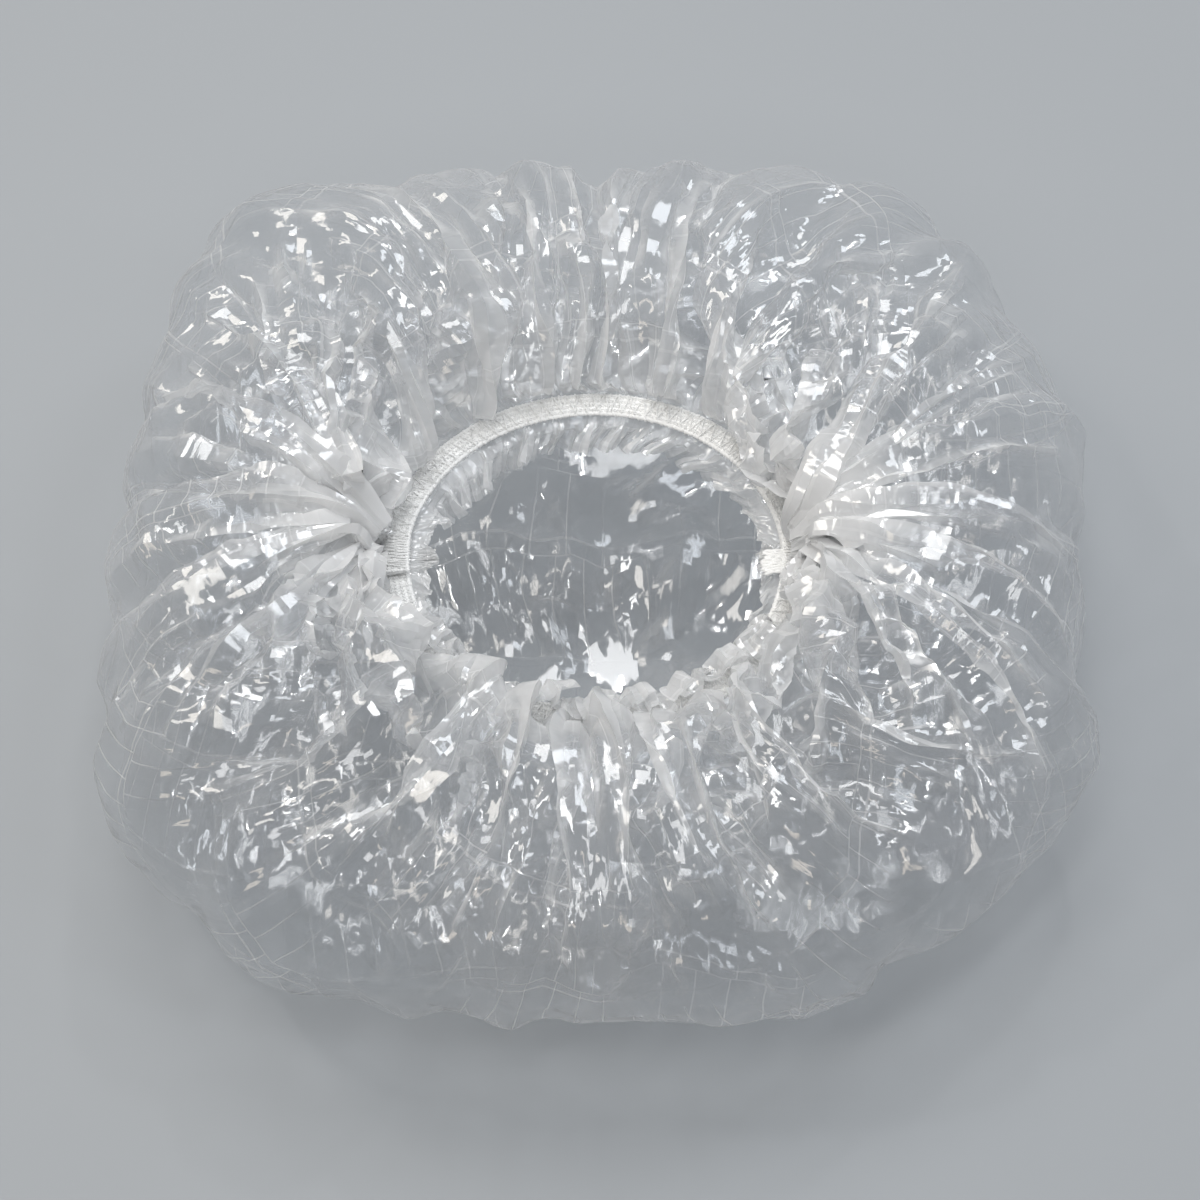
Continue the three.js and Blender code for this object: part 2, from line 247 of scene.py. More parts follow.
TABLE_DIRECTIONS = 720
TABLE_STEPS = 240
ENVELOPE, SEAM_SHARE = envelope_table(np.arange(TABLE_DIRECTIONS) * TAU / TABLE_DIRECTIONS, TABLE_STEPS)


def on_envelope(theta, share):
    """Points of the smooth form, at share 0 on the free edge and 1 in the middle of the crown."""
    a = (theta % TAU) / TAU * TABLE_DIRECTIONS
    b = np.clip(share, 0, 1) * (TABLE_STEPS - 1)
    a0 = np.floor(a).astype(int)
    b0 = np.minimum(np.floor(b).astype(int), TABLE_STEPS - 2)
    fa, fb = (a - a0)[..., None], (b - b0)[..., None]
    a0, a1 = a0 % TABLE_DIRECTIONS, (a0 + 1) % TABLE_DIRECTIONS
    near = ENVELOPE[a0, b0] * (1 - fb) + ENVELOPE[a0, b0 + 1] * fb
    far = ENVELOPE[a1, b0] * (1 - fb) + ENVELOPE[a1, b0 + 1] * fb
    return near * (1 - fa) + far * fa


EDGE_CROWDING = 0.25  # how much closer together the grid's lines are at the sheet's edges


def sheet_grid(cells):
    """Places of a square grid of points on the flat sheet, closer together towards its edges, and
    each point's direction and share of the way from the free edge to the middle of the crown."""
    even = np.linspace(-1, 1, cells + 1)
    line = even * (1 + EDGE_CROWDING) - EDGE_CROWDING * even**3
    u, v = np.meshgrid(line, line, indexing="ij")
    x, y = u * np.sqrt(1 - v * v / 2), v * np.sqrt(1 - u * u / 2)
    flat = np.stack([u * SHEET_LENGTH / 2, v * SHEET_WIDTH / 2], -1)
    return flat, np.arctan2(y, x), 1 - np.hypot(x, y)


def edge_run(theta):
    """Distance along the sheet's four edges to where direction theta meets them."""
    side = np.round(theta / (math.pi / 2))
    return (side + np.sin(theta - side * math.pi / 2) / math.sqrt(2)) * (SHEET_LENGTH + SHEET_WIDTH) / 2


EDGE_LENGTH = 2 * (SHEET_LENGTH + SHEET_WIDTH)


def grid_normals(points):
    along = np.gradient(points, axis=0)
    across = np.gradient(points, axis=1)
    normal = np.cross(along, across)
    return -normal / np.maximum(np.linalg.norm(normal, axis=-1, keepdims=True), 1e-9)


def blurred(field, times):
    for _ in range(times):
        padded = np.pad(field, ((1, 1), (1, 1), (0, 0)), mode="edge")
        field = (
            padded[:-2, 1:-1] + padded[2:, 1:-1] + padded[1:-1, :-2] + padded[1:-1, 2:] + 4 * field
        ) / 8
    return field


NEIGHBOURS = ((1, 0), (0, 1), (1, 1), (1, -1))


def shifted_pairs(points, step):
    """Two views of the grid whose entries are one step apart."""
    i, j = step
    n = points.shape[0]
    if j >= 0:
        return points[: n - i, : n - j], points[i:, j:]
    return points[: n - i, -j:], points[i:, : n + j]


def rest_lengths(points, smooth, flat, most, parts):
    """Flat length of each edge, as far as the gathers can hold it; part of the slack is let out, and
    folds that are there stay as long as the flat sheet has the length for them."""
    lengths = []
    for step in NEIGHBOURS:
        a, b = shifted_pairs(smooth, step)
        m, _ = shifted_pairs(most, step)
        part, _ = shifted_pairs(parts, step)
        fa, fb = shifted_pairs(flat, step)
        pa, pb = shifted_pairs(points, step)
        now = np.linalg.norm(b - a, axis=-1)
        cut = np.linalg.norm(fb - fa, axis=-1)
        folded = np.minimum(np.linalg.norm(pb - pa, axis=-1), cut)
        lengths.append(np.maximum(now + (np.clip(cut, now, now * m) - now) * part, folded))
    return lengths


EDGE_PULL = 0.42  # share of each edge's error that one round takes out
HOLD_EVERY = 6  # rounds between two pulls back to the form,
HOLD = 0.5  # of which each takes out this share of the drift


def relax(points, start, rests, loose, rounds, stiff, reach):
    """Lets each edge of the sheet take its own length, near its start and above the table."""
    for k in range(rounds):
        move = np.zeros_like(points)
        for step, rest in zip(NEIGHBOURS, rests):
            a, b = shifted_pairs(points, step)
            gap = b - a
            length = np.maximum(np.linalg.norm(gap, axis=-1), 1e-6)
            push = gap * ((length - rest) / length * 0.5)[..., None]
            ma, mb = shifted_pairs(move, step)
            ma += push
            mb -= push
        bend = np.zeros_like(points)
        bend[1:-1] += points[:-2] + points[2:] - 2 * points[1:-1]
        bend[:, 1:-1] += points[:, :-2] + points[:, 2:] - 2 * points[:, 1:-1]
        points = points + (move * EDGE_PULL + bend * stiff) * loose
        if k % HOLD_EVERY == HOLD_EVERY - 1:
            points = points - blurred(points - start, 12) * HOLD * loose
            away = points - start
            far = np.linalg.norm(away, axis=-1, keepdims=True)
            points = start + away * np.minimum(1, reach / np.maximum(far, 1e-6))
            points[..., 2] = np.maximum(points[..., 2], 0)
    return points


def clear_of_elastic(points, past_seam):
    """Keeps the puff outside the elastic or over it, the film under it below the band, and the free
    edge inside it or over it."""
    x, y, z = points[..., 0], points[..., 1] - OPENING_CENTRE_Y, points[..., 2]
    edge = SEAT - 0.5  # a little inside the flat strip, so that its ends may curl
    outer = np.hypot(x / (OPENING_WIDTH / 2 + edge), y / (OPENING_DEPTH / 2 + edge))
    inner = np.hypot(x / (OPENING_WIDTH / 2 - edge), y / (OPENING_DEPTH / 2 - edge))
    high = z > OPENING_HEIGHT - 8  # the rest is the crown, seen through the opening
    beyond = (past_seam > edge) & high & (z < OVER_ELASTIC) & (outer < 1)
    before = (past_seam < -edge) & (z < OVER_ELASTIC - 1) & (inner > 1)
    grow = np.where(beyond, 1 / np.maximum(outer, 0.3), np.where(before, 1 / inner, 1.0))
    points[..., 0] = x * grow
    points[..., 1] = y * grow + OPENING_CENTRE_Y
    under = np.abs(past_seam) <= edge
    over = ~under & high & (outer < 1) & (inner > 1) & ~beyond & ~before
    z = np.where(under, np.minimum(z, OPENING_HEIGHT + 0.4), z)
    points[..., 2] = np.maximum(np.where(over, np.maximum(z, OVER_ELASTIC), z), 0)
    return points


# Valleys between the large puffs: direction in degrees, and how deep beside the deepest
MAIN_VALLEYS = (
    (4, 1.0), (22, 0.4), (34, 0.5), (46, 0.9), (59, 0.6), (74, 1.0), (90, 0.5), (103, 1.0), (116, 0.5),
    (138, 0.8), (149, 0.5), (160, 0.8), (174, 1.0), (186, 0.7), (198, 0.5), (222, 0.9), (242, 1.0),
    (253, 0.4), (264, 1.0), (277, 0.4), (289, 1.0), (308, 1.0), (324, 0.5), (346, 0.8),
)


def folds(run, edges, depths, flatness):
    """Panels between straight valleys, at the given places along the sheet's edge; the panels are
    flat on top over this share of their width, and otherwise come to a ridge. Gives the height, and
    how many valleys have been passed."""
    t = np.interp(run % EDGE_LENGTH, edges, np.arange(len(edges)))
    near = np.floor(t + 0.5).astype(int) % len(depths)
    from_valley = 1 - np.abs(2 * (t % 1) - 1)
    rise = np.minimum(from_valley / (1 - flatness), 1)
    return (rise - (1 + flatness) / 2) * depths[near], t


def main_folds(theta, along):
    wander = 2 * np.sin(along / 17 + 3 * theta) + 1 * np.sin(along / 9 - 5 * theta)
    first = edge_run(math.radians(MAIN_VALLEYS[0][0]))
    edges = [edge_run(math.radians(direction)) - first for direction, _ in MAIN_VALLEYS] + [EDGE_LENGTH]
    depths = np.array([depth for _, depth in MAIN_VALLEYS])
    return folds(edge_run(theta % TAU) - first + wander, np.array(edges), depths, 0.5)


def gather_folds(theta, along, count, random):
    """Smaller folds, which run out from the elastic and end one by one."""
    gaps = random.uniform(0.5, 1.5, count)
    edges = np.concatenate([[0], np.cumsum(gaps)]) / gaps.sum() * EDGE_LENGTH
    wander = EDGE_LENGTH / count * 0.2 * np.sin(along / 9 + 7 * theta)
    return folds(edge_run(theta % TAU) + wander, edges, random.uniform(0.3, 1.0, count), 0.1)[0]


def creased(flat, pitch, turn, slope, random):
    """Height over the sheet of flat three-sided facets with sharp creases, one pair in each cell."""
    c, s = math.cos(turn), math.sin(turn)
    x = (flat[..., 0] * c - flat[..., 1] * s) / pitch[0]
    y = (flat[..., 0] * s + flat[..., 1] * c) / pitch[1]
    x = x + 0.33 * np.sin(y * 1.9 + 1.3) + 0.21 * np.sin(y * 4.3 + x * 0.7)
    y = y + 0.33 * np.sin(x * 1.7 + 0.4) + 0.21 * np.sin(x * 3.7 - y * 0.9)
    span = 160
    heights = random.uniform(-0.5, 0.5, (span, span)) * min(pitch) * slope
    slants = random.random((span, span)) < 0.5
    i, j = np.floor(x).astype(int), np.floor(y).astype(int)
    fx, fy = x - i, y - j
    i0, j0, i1, j1 = i % span, j % span, (i + 1) % span, (j + 1) % span
    h00, h10, h01, h11 = heights[i0, j0], heights[i1, j0], heights[i0, j1], heights[i1, j1]
    rising = np.where(
        fx > fy, h00 + (h10 - h00) * fx + (h11 - h10) * fy, h00 + (h11 - h01) * fx + (h01 - h00) * fy
    )
    gx = 1 - fx
    falling = np.where(
        gx > fy, h10 + (h00 - h10) * gx + (h01 - h00) * fy, h10 + (h01 - h11) * gx + (h11 - h10) * fy
    )
    return np.where(slants[i0, j0], rising, falling)


PLEAT_PITCH = 19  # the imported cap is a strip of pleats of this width
SHIRR_PITCH = 5.5  # and is crimped across the pleats by its elastic


def pleats(flat):
    """Zigzag from -0.5 to 0.5 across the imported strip's pleats, which run from tack to tack."""
    return np.abs((flat[..., 1] / PLEAT_PITCH) % 2 - 1) - 0.5


def crumple(flat, along, crown, random):
    """Height of the creases left by packing, over the flat sheet; the crown keeps them best, and the
    sheet's two gathered ends keep the pleats."""
    ends = 1 - smoothstep(SHEET_LENGTH / 2 - np.abs(flat[..., 0]), 25, 90)
    height = pleats(flat) * PLEAT_PITCH * (0.05 + 0.17 * crown + 0.06 * ends)
    large = creased(flat, (26, 32), 0.3, 0.16, random) + creased(flat, (13, 17), 0.5, 0.17, random)
    taut = smoothstep(along, 45, 70) * (1 - smoothstep(along, 95, 112))  # on the side below the puff
    height = height + large * (1 - 0.4 * taut)
    x, y = flat[..., 0], flat[..., 1]
    worn = 0.5 + 0.5 * np.sin(x / 13 + 2 * np.sin(y / 17)) * np.sin(y / 11 + 1.5 * np.sin(x / 21 + 2))
    small = creased(flat, (SHIRR_PITCH, PLEAT_PITCH / 2), 0, 0.5, random)
    small = small + creased(flat, (8, 7), -0.9, 0.3, random)
    return height + small * (0.4 + 0.9 * worn) * (1 + 0.9 * crown - 0.5 * taut)


def crisp(points, rounds, settle, spread, loose):
    """Flattens the panels between creases and sharpens the creases: in some rounds each facet turns
    towards its neighbours unless they differ by more than spread, and then the points settle."""
    diagonal = points[1:, 1:] - points[:-1, :-1]
    other = points[1:, :-1] - points[:-1, 1:]
    facing = np.cross(diagonal, other)
    facing /= np.maximum(np.linalg.norm(facing, axis=-1, keepdims=True), 1e-9)
    for _ in range(rounds):
        padded = np.pad(facing, ((1, 1), (1, 1), (0, 0)), mode="edge")
        total = np.zeros_like(facing)
        for i in range(3):
            for j in range(3):
                beside = padded[i : i + facing.shape[0], j : j + facing.shape[1]]
                apart = ((beside - facing) ** 2).sum(-1, keepdims=True)
                total += beside * np.exp(-apart / spread**2)
        facing = total / np.maximum(np.linalg.norm(total, axis=-1, keepdims=True), 1e-9)
    for _ in range(settle):
        centre = (points[1:, 1:] + points[:-1, :-1] + points[1:, :-1] + points[:-1, 1:]) / 4
        move = np.zeros_like(points)
        count = np.zeros(points.shape[:2] + (1,))
        for i in (0, 1):
            for j in (0, 1):
                here = (slice(i, points.shape[0] - 1 + i), slice(j, points.shape[1] - 1 + j))
                rise = ((centre - points[here]) * facing).sum(-1, keepdims=True)
                move[here] += facing * rise
                count[here] += 1
        points = points + move / count * loose
    return points


def panel_tones(flat, theta, along, random):
    """From 0 to 1, how clouded each panel between folds is, and each pleat of it."""
    panel = main_folds(theta, along)[1].astype(int)
    pleat = np.floor(flat[..., 1] / PLEAT_PITCH).astype(int)
    piece = np.floor(flat[..., 0] / (4 * SHIRR_PITCH) + 0.37 * pleat).astype(int)
    by_panel = random.random(len(MAIN_VALLEYS) + 1)[panel]
    by_piece = random.random((40, 40))[pleat % 40, piece % 40]
    return by_panel * 0.6 + by_piece * 0.4


def fading(x, zone):
    return 1 - smoothstep(x, *zone)


# Zones of the film, in millimetres in from its free edge: where each kind of fold begins or ends
RUFFLES_END = (12, 30)
GATHERS_END = (22, 58)
PUFFS_END = (40, 95)
PUFF_TRACES_END = (90, 140)
SIDE_FOLDS_BEGIN, SIDE_FOLDS_END = (38, 52), (66, 118)
SLACK_ENDS = (32, 62)
CREASES_BEGIN = (9, 30)
CROWN_BEGINS = (112, 136)
END_PLEATS_END = (24, 90)  # from the sheet's gathered end

CROWN_LIFT = 2.2  # the creased crown touches the table only here and there
GATHER_COUNT = 62
RUFFLE_COUNT = 150


def new_folds(level, flat, theta, along, past_seam, free, random):
    """Heights over the film of the folds that come in at this level of detail."""
    if level == 0:
        swell = 4.5 * fading(along, PUFFS_END) + 1.2 * fading(along, PUFF_TRACES_END)
        swell = swell * (0.25 + 0.75 * smoothstep(past_seam, 5, 26))
        return [main_folds(theta, along)[0] * swell * free]
    if level == 1:
        swell = 2.4 * free * fading(along, GATHERS_END)
        calm_rim = smoothstep(-np.sin(theta), 0.2, 0.6) * fading(along, (14, 34))
        swell = swell * (1 - 0.5 * calm_rim)
        gathers = gather_folds(theta, along, GATHER_COUNT, random) * swell
        from_end = SHEET_LENGTH / 2 - np.abs(flat[..., 0])
        return [gathers, pleats(flat) * (2.2 * free * fading(from_end, END_PLEATS_END))]
    if level == 2:
        ruffles = gather_folds(theta, along, RUFFLE_COUNT, random) * (1.6 * free * fading(along, RUFFLES_END))
        swell = 3.6 * smoothstep(along, *SIDE_FOLDS_BEGIN) * fading(along, SIDE_FOLDS_END)
        return [ruffles, main_folds(theta, along)[0] * swell]
    return []


def refined(points, cells):
    """The same sheet on a finer grid."""
    old = np.linspace(0, 1, points.shape[0])
    new = np.linspace(0, 1, cells + 1)
    for axis in (0, 1):
        points = np.apply_along_axis(lambda c: np.interp(new, old, c), axis, points)
    return blurred(points, 1)


# From coarse to fine: cells across the sheet, rounds of relaxation, share of the slack let out, how
# stiffly the film bends, how far in millimetres it may leave the form, and its unevenness
LEVELS = (50, 100, 200, 314)
ROUNDS = (160, 120, 90, 50)
PARTS = (0.8, 0.92, 0.98, 1.0)
STIFFNESS = (0.05, 0.04, 0.025, 0.015)
REACHES = (7.0, 4.0, 2.5, 1.0)
NOISES = (0.8, 0.5, 0.25, 0.1)


def fold_film():
    """Lays the flat sheet over the puffed form, folds it and creases it. Gives its points, their
    places on the flat sheet, and how clouded it is there."""
    random = np.random.default_rng(7)
    points = None
    for level, cells in enumerate(LEVELS):
        flat, theta, share = sheet_grid(cells)
        smooth = on_envelope(theta, share)
        normal = grid_normals(smooth)
        along = share * SHEET_WIDTH / 2  # distance in from the free edge
        turn = theta % TAU / TAU * TABLE_DIRECTIONS
        seam = np.interp(turn, np.arange(TABLE_DIRECTIONS + 1), np.append(SEAM_SHARE, SEAM_SHARE[0]))
        past_seam = along - seam * SHEET_WIDTH / 2
        from_seam = np.abs(past_seam)
        free = smoothstep(from_seam, SEAT * 0.8, SEAT * 2.5)
        most = 1.12 + 2.0 * free  # times its length on the even form, the longest that an edge may be
        loose = np.where(from_seam < SEAT, 0.15, 1.0)[..., None]
        taut = 1 - 0.7 * smoothstep(along, 38, 72)
        reach = (0.4 + REACHES[level] * free * taut)[..., None]
        noise = blurred(random.standard_normal((cells + 1, cells + 1, 1)), 2)
        noise = noise * NOISES[level] * taut[..., None]
        points = smooth if points is None else refined(points, cells)
        for height in new_folds(level, flat, theta, along, past_seam, free, random):
            points = points + normal * height[..., None]
        points = points + normal * noise * loose
        points[..., 2] = np.maximum(points[..., 2], 0)
        slack = PARTS[level] * (1 - 0.75 * smoothstep(along, *SLACK_ENDS))
        rests = rest_lengths(points, smooth, flat, most, slack)
        points = relax(points, points.copy(), rests, loose, ROUNDS[level], STIFFNESS[level], reach)
        points = clear_of_elastic(points, past_seam)
    lie = (loose[..., 0] * free * smoothstep(along, *CREASES_BEGIN))[..., None]
    points = crisp(points, 6, 14, 0.45, lie)
    crown = smoothstep(along, *CROWN_BEGINS)
    height = crumple(flat, along, crown, random)[..., None] * lie
    points = points + grid_normals(points) * height + crown[..., None] * (0, 0, CROWN_LIFT)
    points = crisp(points, 1, 3, 0.12, lie)
    return clear_of_elastic(points, past_seam), flat, panel_tones(flat, theta, along, random)


CREASE_ANGLE = math.radians(14)


def grid_mesh(name, points, flat):
    n = points.shape[0]
    index = np.arange(n * n).reshape(n, n)
    faces = np.stack([index[:-1, :-1], index[:-1, 1:], index[1:, 1:], index[1:, :-1]], -1).reshape(-1, 4)
    mesh = bpy.data.meshes.new(name)
    mesh.from_pydata(((points.reshape(-1, 3) + CAP_SHIFT) * MM).tolist(), [], faces.tolist())
    layer = mesh.uv_layers.new(name="flat_sheet")
    placed = (flat.reshape(-1, 2) * MM)[faces.reshape(-1)]
    layer.data.foreach_set("uv", placed.astype(np.float32).reshape(-1))
    mesh.shade_smooth()
    mesh.set_sharp_from_angle(angle=CREASE_ANGLE)
    piece = bpy.data.objects.new(name, mesh)
    bpy.context.collection.objects.link(piece)
    return piece


points, flat_sheet, tones = fold_film()
film = grid_mesh("film", points, flat_sheet)


def add(tree, kind, inputs=None, **settings):
    """Adds a node with its settings, and sets or links its inputs."""
    node = tree.nodes.new(kind)
    for key, value in settings.items():
        setattr(node, key, value)
    for key, value in (inputs or {}).items():
        if isinstance(value, bpy.types.NodeSocket):
            tree.links.new(value, node.inputs[key])
        else:
            node.inputs[key].default_value = value
    return node


def new_material(name):
    material = bpy.data.materials.new(name)
    material.use_nodes = True
    tree = material.node_tree
    tree.nodes.clear()
    return material, tree


# Facets of the crumpled film: millimetres along and across the sheet, and how far they lean
FACET_SIZES = (((2.6, 10.0), 0.05), ((9.0, 7.0), 0.08))
SHIRR_LEAN = 0.08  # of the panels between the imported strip's crimps
BUCKLE_SIZE = (2.8, 9.1)  # of the soft curvature within each facet
BUCKLE_LEAN = 0.52
CREASE_WIDTH = 0.16  # of the fine milky lines along the crimps and the pleats
WORN_SIZE = 28  # of the places that are crumpled more, or less, than the rest
WANDER = (7.0, 5.0, 0)  # how far crimps and facets stray from a regular net,
WANDER_SIZE = 50  # and over what length


def film_material():
    """Polyethylene blown as a thin clear film: both faces glossy, so that creases have sharp glints,
    and milky where it is bunched up, sharply creased or seen edge-on."""
    material, tree = new_material("blown_polyethylene_film")

    def math_node(operation, *values):
        return add(tree, "ShaderNodeMath", dict(enumerate(values)), operation=operation).outputs[0]

    def vector_node(operation, *values):
        return add(tree, "ShaderNodeVectorMath", dict(enumerate(values)), operation=operation).outputs[0]

    sheet = add(tree, "ShaderNodeUVMap", uv_map="flat_sheet")
    in_mm = vector_node("MULTIPLY", sheet.outputs["UV"], (1 / MM, 1 / MM, 0))
    wander = add(
        tree, "ShaderNodeTexNoise", {"Vector": in_mm, "Scale": 1 / WANDER_SIZE, "Detail": 2.0},
        noise_dimensions="2D",
    )
    bent = vector_node("MULTIPLY_ADD", wander.outputs["Color"], WANDER, in_mm)

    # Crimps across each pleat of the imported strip, and the flat panels between them
    shirr = add(
        tree, "ShaderNodeTexBrick",
        {"Vector": bent, "Color1": (0, 0, 0, 1), "Color2": (1, 1, 1, 1), "Mortar": (0.5, 0.5, 0.5, 1),
         "Scale": 1.0, "Mortar Size": CREASE_WIDTH, "Mortar Smooth": 0.5, "Brick Width": SHIRR_PITCH,
         "Row Height": PLEAT_PITCH},
        offset=0.37, squash=0.8, squash_frequency=3,
    )
    across = vector_node("MULTIPLY", shirr.outputs["Color"], (SHIRR_LEAN, SHIRR_LEAN / 4, 0))
    leaned, most = across, [SHIRR_LEAN, SHIRR_LEAN / 4]  # the sum of all leans, and the most it can be
    # Flat facets with straight edges, where the film was crumpled
    for (along, beside), lean in FACET_SIZES:
        place = vector_node("MULTIPLY", bent, (1 / along, 1 / beside, 0))
        cell = add(tree, "ShaderNodeTexVoronoi", {"Vector": place, "Scale": 1.0}, voronoi_dimensions="2D")
        leaned = vector_node("MULTIPLY_ADD", cell.outputs["Color"], (lean, lean, 0), leaned)
        most = [value + lean for value in most]
    streaked = vector_node("MULTIPLY", bent, (1 / BUCKLE_SIZE[0], 1 / BUCKLE_SIZE[1], 0))
    buckle = add(
        tree, "ShaderNodeTexNoise", {"Vector": streaked, "Scale": 1.0, "Detail": 2.5}, noise_dimensions="2D"
    )
    leaned = vector_node("MULTIPLY_ADD", buckle.outputs["Color"], (BUCKLE_LEAN, BUCKLE_LEAN / 2, 0), leaned)
    most = [most[0] + BUCKLE_LEAN, most[1] + BUCKLE_LEAN / 2]
    # Some places are much more crumpled than others, and their creases show more
    worn = add(
        tree, "ShaderNodeTexNoise", {"Vector": in_mm, "Scale": 1 / WORN_SIZE, "Detail": 1.0},
        noise_dimensions="2D",
    )
    crumpled = add(
        tree, "ShaderNodeMapRange",
        {"Value": worn.outputs["Fac"], "From Min": 0.4, "From Max": 0.58, "To Min": 0.3, "To Max": 1.25},
    )
    swing = vector_node("SUBTRACT", leaned, (most[0] / 2, most[1] / 2, 0))
    facet = add(
        tree, "ShaderNodeNormalMap",
        {"Color": vector_node("MULTIPLY_ADD", swing, crumpled.outputs[0], (0.5, 0.5, 1.0)), "Strength": 1.0},
        uv_map="flat_sheet",
    )
    kept = add(
        tree, "ShaderNodeMapRange",
        {"Value": worn.outputs["Fac"], "From Min": 0.42, "From Max": 0.64, "To Min": 0.0, "To Max": 0.36},
    )
    shirred = math_node("MULTIPLY", shirr.outputs["Fac"], kept.outputs[0])
    beside = add(tree, "ShaderNodeSeparateXYZ", {0: in_mm}).outputs[1]
    pleated = add(
        tree, "ShaderNodeMapRange",
        {"Value": math_node("PINGPONG", beside, PLEAT_PITCH / 2), "From Min": CREASE_WIDTH,
         "From Max": CREASE_WIDTH * 2.2, "To Min": 0.6, "To Max": 0.0},
    )
    crease = math_node("MULTIPLY_ADD", pleated.outputs[0], math_node("ADD", kept.outputs[0], 0.08), shirred)

    # Haze grows with the length of the way through the film, and with the number of layers
    facing = add(tree, "ShaderNodeLayerWeight", {"Blend": 0.5}).outputs["Facing"]
    layers = add(tree, "ShaderNodeAttribute", attribute_name="milky").outputs["Fac"]
    path = math_node("DIVIDE", math_node("ADD", crease, layers), math_node("SUBTRACT", 1.06, facing))
    haze = math_node("SUBTRACT", 1.0, math_node("POWER", 1 / math.e, path))
    front = add(tree, "ShaderNodeBsdfDiffuse", {"Color": (*linear("#FDFDFD"), 1)})
    through = add(tree, "ShaderNodeBsdfTranslucent", {"Color": (*linear("#FDFDFD"), 1)})
    scatter = add(tree, "ShaderNodeMixShader", {0: 0.45, 1: front.outputs[0], 2: through.outputs[0]})
    # Painted shade: the clear film lets through less light than clear polyethylene does. The grey tint stands
    # in for the shade that the crumpled layers cast on each other and on the floor.
    clear = add(tree, "ShaderNodeBsdfTransparent", {"Color": (0.915, 0.923, 0.932, 1)})
    body = add(tree, "ShaderNodeMixShader", {0: haze, 1: clear.outputs[0], 2: scatter.outputs[0]})

    # Its two faces together reflect about a tenth straight on, and more at a glancing angle
    mirror = math_node("MULTIPLY_ADD", math_node("POWER", facing, 4.0), 0.5, 0.1)
    gloss = add(
        tree, "ShaderNodeBsdfGlossy",
        {"Color": (1, 1, 1, 1), "Roughness": 0.1, "Normal": facet.outputs[0]},
    )
    both = add(tree, "ShaderNodeMixShader", {0: mirror, 1: body.outputs[0], 2: gloss.outputs[0]})
    add(tree, "ShaderNodeOutputMaterial", {"Surface": both.outputs[0]})
    return material


# How milky the smooth clear film is, and how much each thing adds to that
CLEAR_HAZE = 0.025
TONE_HAZE = 0.08
LAYER_HAZE = 0.3
CREASE_HAZE = 0.45
RIM_HAZE = 0.35
TACK_HAZE = 1.2
RIM_REACH = 7
TACK_REACH = 11


def mark_milky(piece, points, flat, tones):
    """Stores how milky one way through the film is: more where it is gathered up, and on creases."""

    def cells(grid):
        return np.diff(grid, axis=0)[:, 1:], np.diff(grid, axis=1)[1:]

    lies = np.linalg.norm(np.cross(*cells(points)), axis=-1)
    along, across = cells(flat)
    cut = np.abs(along[..., 0] * across[..., 1] - along[..., 1] * across[..., 0])
    over = np.pad(cut / np.maximum(lies, 1e-4), ((0, 1), (0, 1)), mode="edge")[..., None]
    # from 0 where the film lies nearly flat to 1 where 4.2 times its area is gathered
    layers = np.clip((blurred(np.clip(over, 0, 30), 8)[..., 0] - 1.2) / 3, 0, 1)
    facing = grid_normals(points)
    bend = np.linalg.norm(facing - blurred(facing, 2), axis=-1)
    crease = np.clip((bend - 0.08) / 0.3, 0, 1)
    past = np.maximum(np.hypot(points[..., 0], points[..., 1] - OPENING_CENTRE_Y) - OPENING_WIDTH / 2, 0)
    from_tack = np.hypot(np.abs(points[..., 0]) - OPENING_WIDTH / 2 - 3, points[..., 1] - OPENING_CENTRE_Y)
    high = smoothstep(points[..., 2], 25, 33)  # leaves out the crown below the opening
    rim = high * np.exp(-((past / RIM_REACH) ** 2))
    tack = high * np.exp(-((from_tack / TACK_REACH) ** 2))
    milky = CLEAR_HAZE + TONE_HAZE * tones + LAYER_HAZE * layers + CREASE_HAZE * crease
    milky = milky + RIM_HAZE * rim + TACK_HAZE * tack
    layer = piece.data.attributes.new("milky", "FLOAT", "POINT")
    layer.data.foreach_set("value", milky.astype(np.float32).reshape(-1))


mark_milky(film, points, flat_sheet, tones)
film.data.materials.append(film_material())
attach(film, "root")
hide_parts("film_cap")

# Elastics: flat knitted bands. Fine ribs of yarn run round the band, with chains of loops on top

RIB_PITCH = 0.62
YARN_RADIUS = 0.25
LOOP_RADIUS = 0.09
CHAINS = (-1.35, -0.45, 0.45, 1.35)  # where the chains of loops run, from the band's middle line
UNEVENNESS = 0.3  # how unevenly the ribs and the stitches lie
FIBRES_PER_SQUARE_METRE = 4e5
CORE_INSET = 0.3  # the band's core is this much narrower and thinner, and its corners as round


def swept(places, across, upward, outline, closed=False):
    """Points and faces of a bar along a path; its outline runs anticlockwise from across to upward."""
    count, corners = len(places), len(outline)
    outline = np.asarray(outline, dtype=float)
    points = places[:, None] + across[:, None] * outline[None, :, :1]
    points = points + upward[:, None] * outline[None, :, 1:]
    faces = []
    for i in range(count if closed else count - 1):
        here, there = i * corners, (i + 1) % count * corners
        for k in range(corners):
            after = (k + 1) % corners
            faces.append((here + k, here + after, there + after, there + k))
    if not closed:
        faces.append(tuple(range(corners))[::-1])
        faces.append(tuple(range((count - 1) * corners, count * corners)))
    return points.reshape(-1, 3), faces


